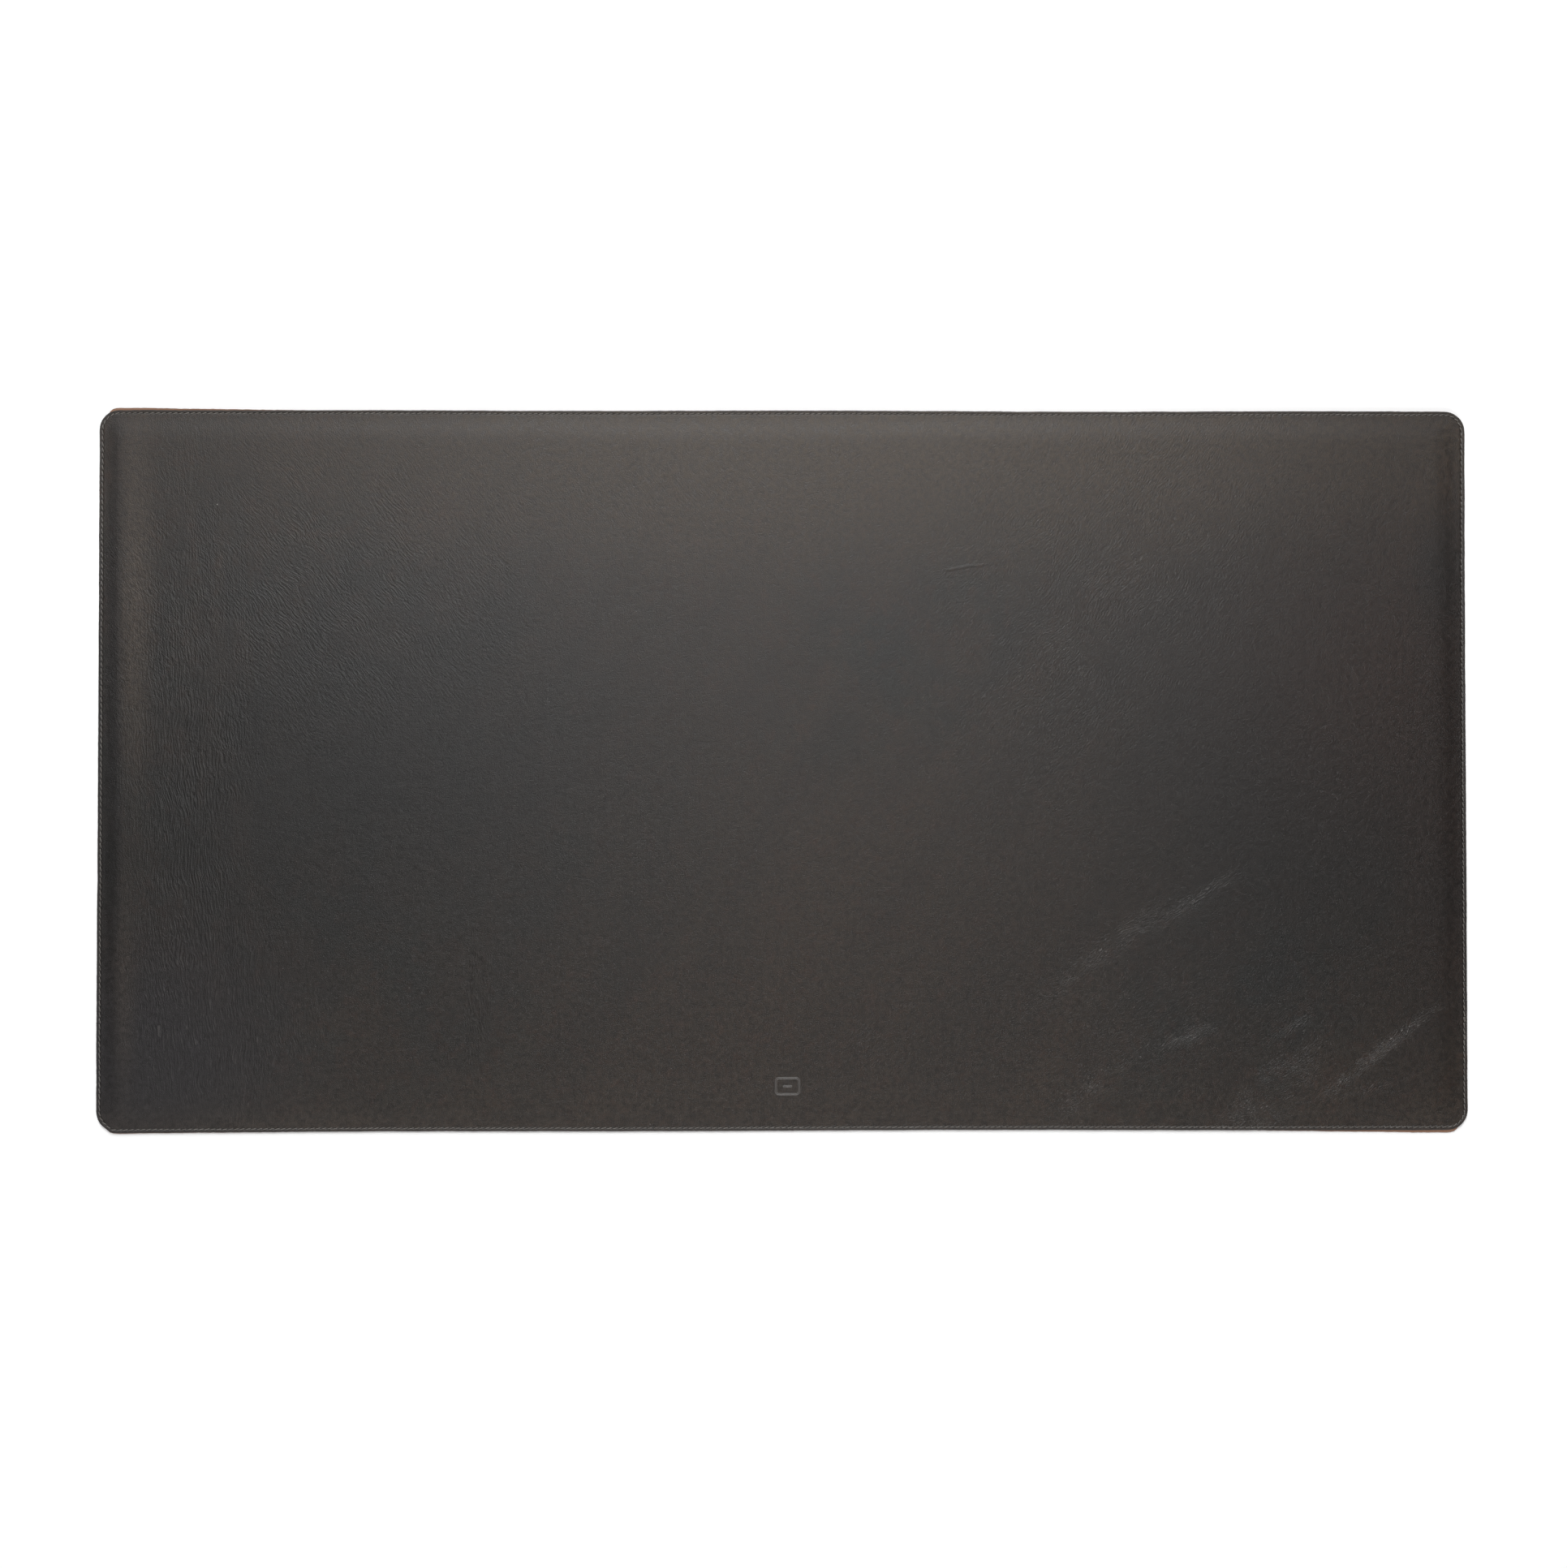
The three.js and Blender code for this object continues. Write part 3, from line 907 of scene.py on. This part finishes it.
def make_leather():
    shader = Shader("top_leather_grain")
    mottle = shader.noise(0.0035, 3, 0.65)
    grain = leather_grain(shader)
    folds, crests = leather_wrinkles(shader)
    # Painted shade in the grain's creases.
    grain_crease_shade = shader.span(grain, -65e-6, 0.0, 0.45, 0.0)
    tone = shader.blend(grain_crease_shade, leather_tone(shader, mottle), DEEP)
    # Painted shade in the seam's groove.
    tone = shader.blend(shader.math("MULTIPLY", shader.painted("groove"), 0.8), tone, DEEP)
    # Colours of the painted highlights on the wrinkle crests and along the stamp's lines.
    painted_crest_glint, painted_mark_glint = rgb(0.150, 0.141, 0.134), rgb(0.110, 0.103, 0.098)
    speck = rgb(0.20, 0.19, 0.18)
    # Painted highlights on the wrinkle crests.
    tone = shader.blend(crests, tone, painted_crest_glint)
    # A painted highlight along the stamp's lines.
    tone = shader.blend(shader.painted("painted_glint"), tone, painted_mark_glint)
    tone = shader.blend(dust(shader), tone, speck)
    worn = shader.span(mottle, 0.3, 0.7, 0.48, 0.40)
    rough = shader.math("MULTIPLY_ADD", shader.painted("painted_shade"), -0.035, worn)
    lumps = shader.math("MULTIPLY", mottle, -130e-6)
    height = shader.total(grain, lumps, folds)
    return shader.finish(tone, rough, height, Specular_IOR_Level=0.5)


def make_dyed_edge():
    shader = Shader("dyed_cut_edge")
    fibres = shader.noise(0.0006, 4, 0.6)
    dark, light = rgb(0.007, 0.005, 0.0045), rgb(0.022, 0.016, 0.014)
    tone = shader.blend(shader.span(fibres, 0.3, 0.75), dark, light)
    height = shader.math("MULTIPLY", fibres, 60e-6)
    return shader.finish(tone, shader.span(fibres, 0.3, 0.7, 0.5, 0.75), height)


def make_tan(name, light, dark):
    shader = Shader(name)
    nap = shader.noise(0.00035, 5, 0.65)
    drift = shader.noise(0.05, 3, 0.55)
    tone = shader.blend(shader.span(drift, 0.3, 0.7), light, dark)
    tone = shader.blend(shader.span(nap, 0.35, 0.7, 0.35, 0.0), tone, rgb(0.17, 0.085, 0.05))
    height = shader.math("MULTIPLY", nap, 110e-6)
    return shader.finish(tone, shader.span(drift, 0.3, 0.7, 0.82, 0.95), height, Sheen_Weight=0.25)


def make_board():
    shader = Shader("bonded_board")
    chips = shader.cells(0.0016, shader.warped(shader.place, 0.003, 0.002), edges=False)
    tone = shader.blend(shader.span(chips, 0.1, 0.8), rgb(0.23, 0.14, 0.085), rgb(0.13, 0.08, 0.05))
    height = shader.math("MULTIPLY", shader.noise(0.0008, 4, 0.6), 60e-6)
    return shader.finish(tone, shader.span(chips, 0.1, 0.8, 0.8, 0.92), height)


def make_thread():
    shader = Shader("waxed_thread")
    fluff = shader.noise(0.0002, 3, 0.6)
    drift = shader.noise(0.02, 2, 0.5)
    light, dark = rgb(0.180, 0.167, 0.152), rgb(0.128, 0.116, 0.104)
    tone = shader.blend(shader.span(drift, 0.3, 0.7), light, dark)
    tone = shader.blend(shader.span(fluff, 0.35, 0.65, 0.35, 0.0), tone, rgb(0.08, 0.07, 0.06))
    height = shader.math("MULTIPLY", fluff, 25e-6)
    return shader.finish(tone, shader.span(fluff, 0.3, 0.7, 0.38, 0.55), height, Sheen_Weight=0.1)


def make_ground():
    shader = Shader("pale_ground")
    cloud = shader.noise(0.8, 2, 0.5)
    tone = shader.blend(cloud, rgb(0.95, 0.95, 0.95), rgb(0.97, 0.97, 0.97))
    height = shader.math("MULTIPLY", shader.noise(0.002, 2, 0.5), 4e-6)
    return shader.finish(tone, shader.span(cloud, 0.0, 1.0, 0.85, 0.9), height, Specular_IOR_Level=0.1)


# ---------------------------------------------------------------- camera, lights and floor


def make_camera():
    """Looks almost straight down on the mat, from 1.5 m and a little to its front and its left."""
    camera = bpy.data.objects.new("camera", bpy.data.cameras.new("camera"))
    camera.data.lens = 50
    camera.data.sensor_width = 36
    distance = 1.5105
    lean_front, lean_left = math.radians(0.87), math.radians(0.55)
    target = Vector((-0.3 * MM, -9.86 * MM, FIELD_TOP))
    back = Vector((-math.sin(lean_left), -math.sin(lean_front), 1)).normalized()
    right = Vector((0, 1, 0)).cross(back).normalized()
    camera.location = target + back * distance
    camera.rotation_euler = Matrix((right, back.cross(right), back)).transposed().to_euler()
    bpy.context.scene.collection.objects.link(camera)
    bpy.context.scene.camera = camera


def area_light(name, place, target, size_x, size_y, power):
    light = bpy.data.lights.new(name, "AREA")
    light.shape = "RECTANGLE"
    light.size, light.size_y = size_x, size_y
    light.energy = power
    obj = bpy.data.objects.new(name, light)
    obj.location = place
    obj.rotation_euler = (Vector(target) - Vector(place)).to_track_quat("-Z", "Y").to_euler()
    bpy.context.scene.collection.objects.link(obj)


def make_lights():
    area_light("key", (-0.12, 1.25, 2.0), (0, 0, 0), 0.9, 0.9, 39)
    area_light("back", (0.0, 3.6, 2.2), (0, 0, 0), 3.0, 1.4, 60)
    area_light("ceiling", (0.08, 0.0, 3.0), (0.08, 0, 0), 0.9, 3.0, 9)
    area_light("front", (0.0, -3.4, 1.7), (0, -0.3, 0), 3.4, 1.2, 99)
    bpy.context.scene.view_settings.view_transform = "Standard"


def make_world():
    """A white room with a dark ceiling, so that the leather doesn't turn grey from above."""
    world = bpy.data.worlds.new("studio")
    world.use_nodes = True
    nodes, links = world.node_tree.nodes, world.node_tree.links
    coordinates = nodes.new("ShaderNodeTexCoord")
    height = nodes.new("ShaderNodeSeparateXYZ")
    links.new(coordinates.outputs["Generated"], height.inputs[0])
    fade = nodes.new("ShaderNodeMapRange")
    fade.interpolation_type = "SMOOTHSTEP"
    links.new(height.outputs["Z"], fade.inputs["Value"])
    ends = {"From Min": 0.10, "From Max": 0.45, "To Min": 1.0, "To Max": 0.05}
    for name, number in ends.items():
        fade.inputs[name].default_value = number
    background = nodes["Background"]
    background.inputs["Color"].default_value = (1, 1, 1, 1)
    links.new(fade.outputs["Result"], background.inputs["Strength"])
    bpy.context.scene.world = world


def make_floor():
    radius, sides = 1.5, 96
    angles = np.arange(sides) * 2 * math.pi / sides
    rim = np.column_stack([np.cos(angles), np.sin(angles), np.zeros(sides)]) * radius
    mesh = bpy.data.meshes.new("floor")
    mesh.from_pydata(rim.tolist(), [], [list(range(sides))])
    mesh.materials.append(make_ground())
    floor = bpy.data.objects.new("floor", mesh)
    floor.location.z = -0.05 * MM
    bpy.context.scene.collection.objects.link(floor)


# ---------------------------------------------------------------- the mat

make_camera()
make_lights()
make_world()
make_floor()

tan_face = make_tan("tan_suede", rgb(0.31, 0.175, 0.112), rgb(0.26, 0.14, 0.085))
tan_edge = make_tan("tan_cut_edge", rgb(0.16, 0.085, 0.052), rgb(0.10, 0.052, 0.032))
thread = make_thread()

pieces = [
    (make_top_leather([make_leather(), make_dyed_edge()]), "top_leather", "top_leather"),
    (make_core_board(make_board()), "core_board", "core_board"),
    (make_backing([tan_face, tan_edge]), "backing_leather", "backing_leather"),
    (make_needle_thread(thread), "needle_thread", "thread"),
    (make_bobbin_thread(thread), "bobbin_thread", "thread"),
]
for piece, node, slot in pieces:
    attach(piece, "root")
    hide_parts(node)
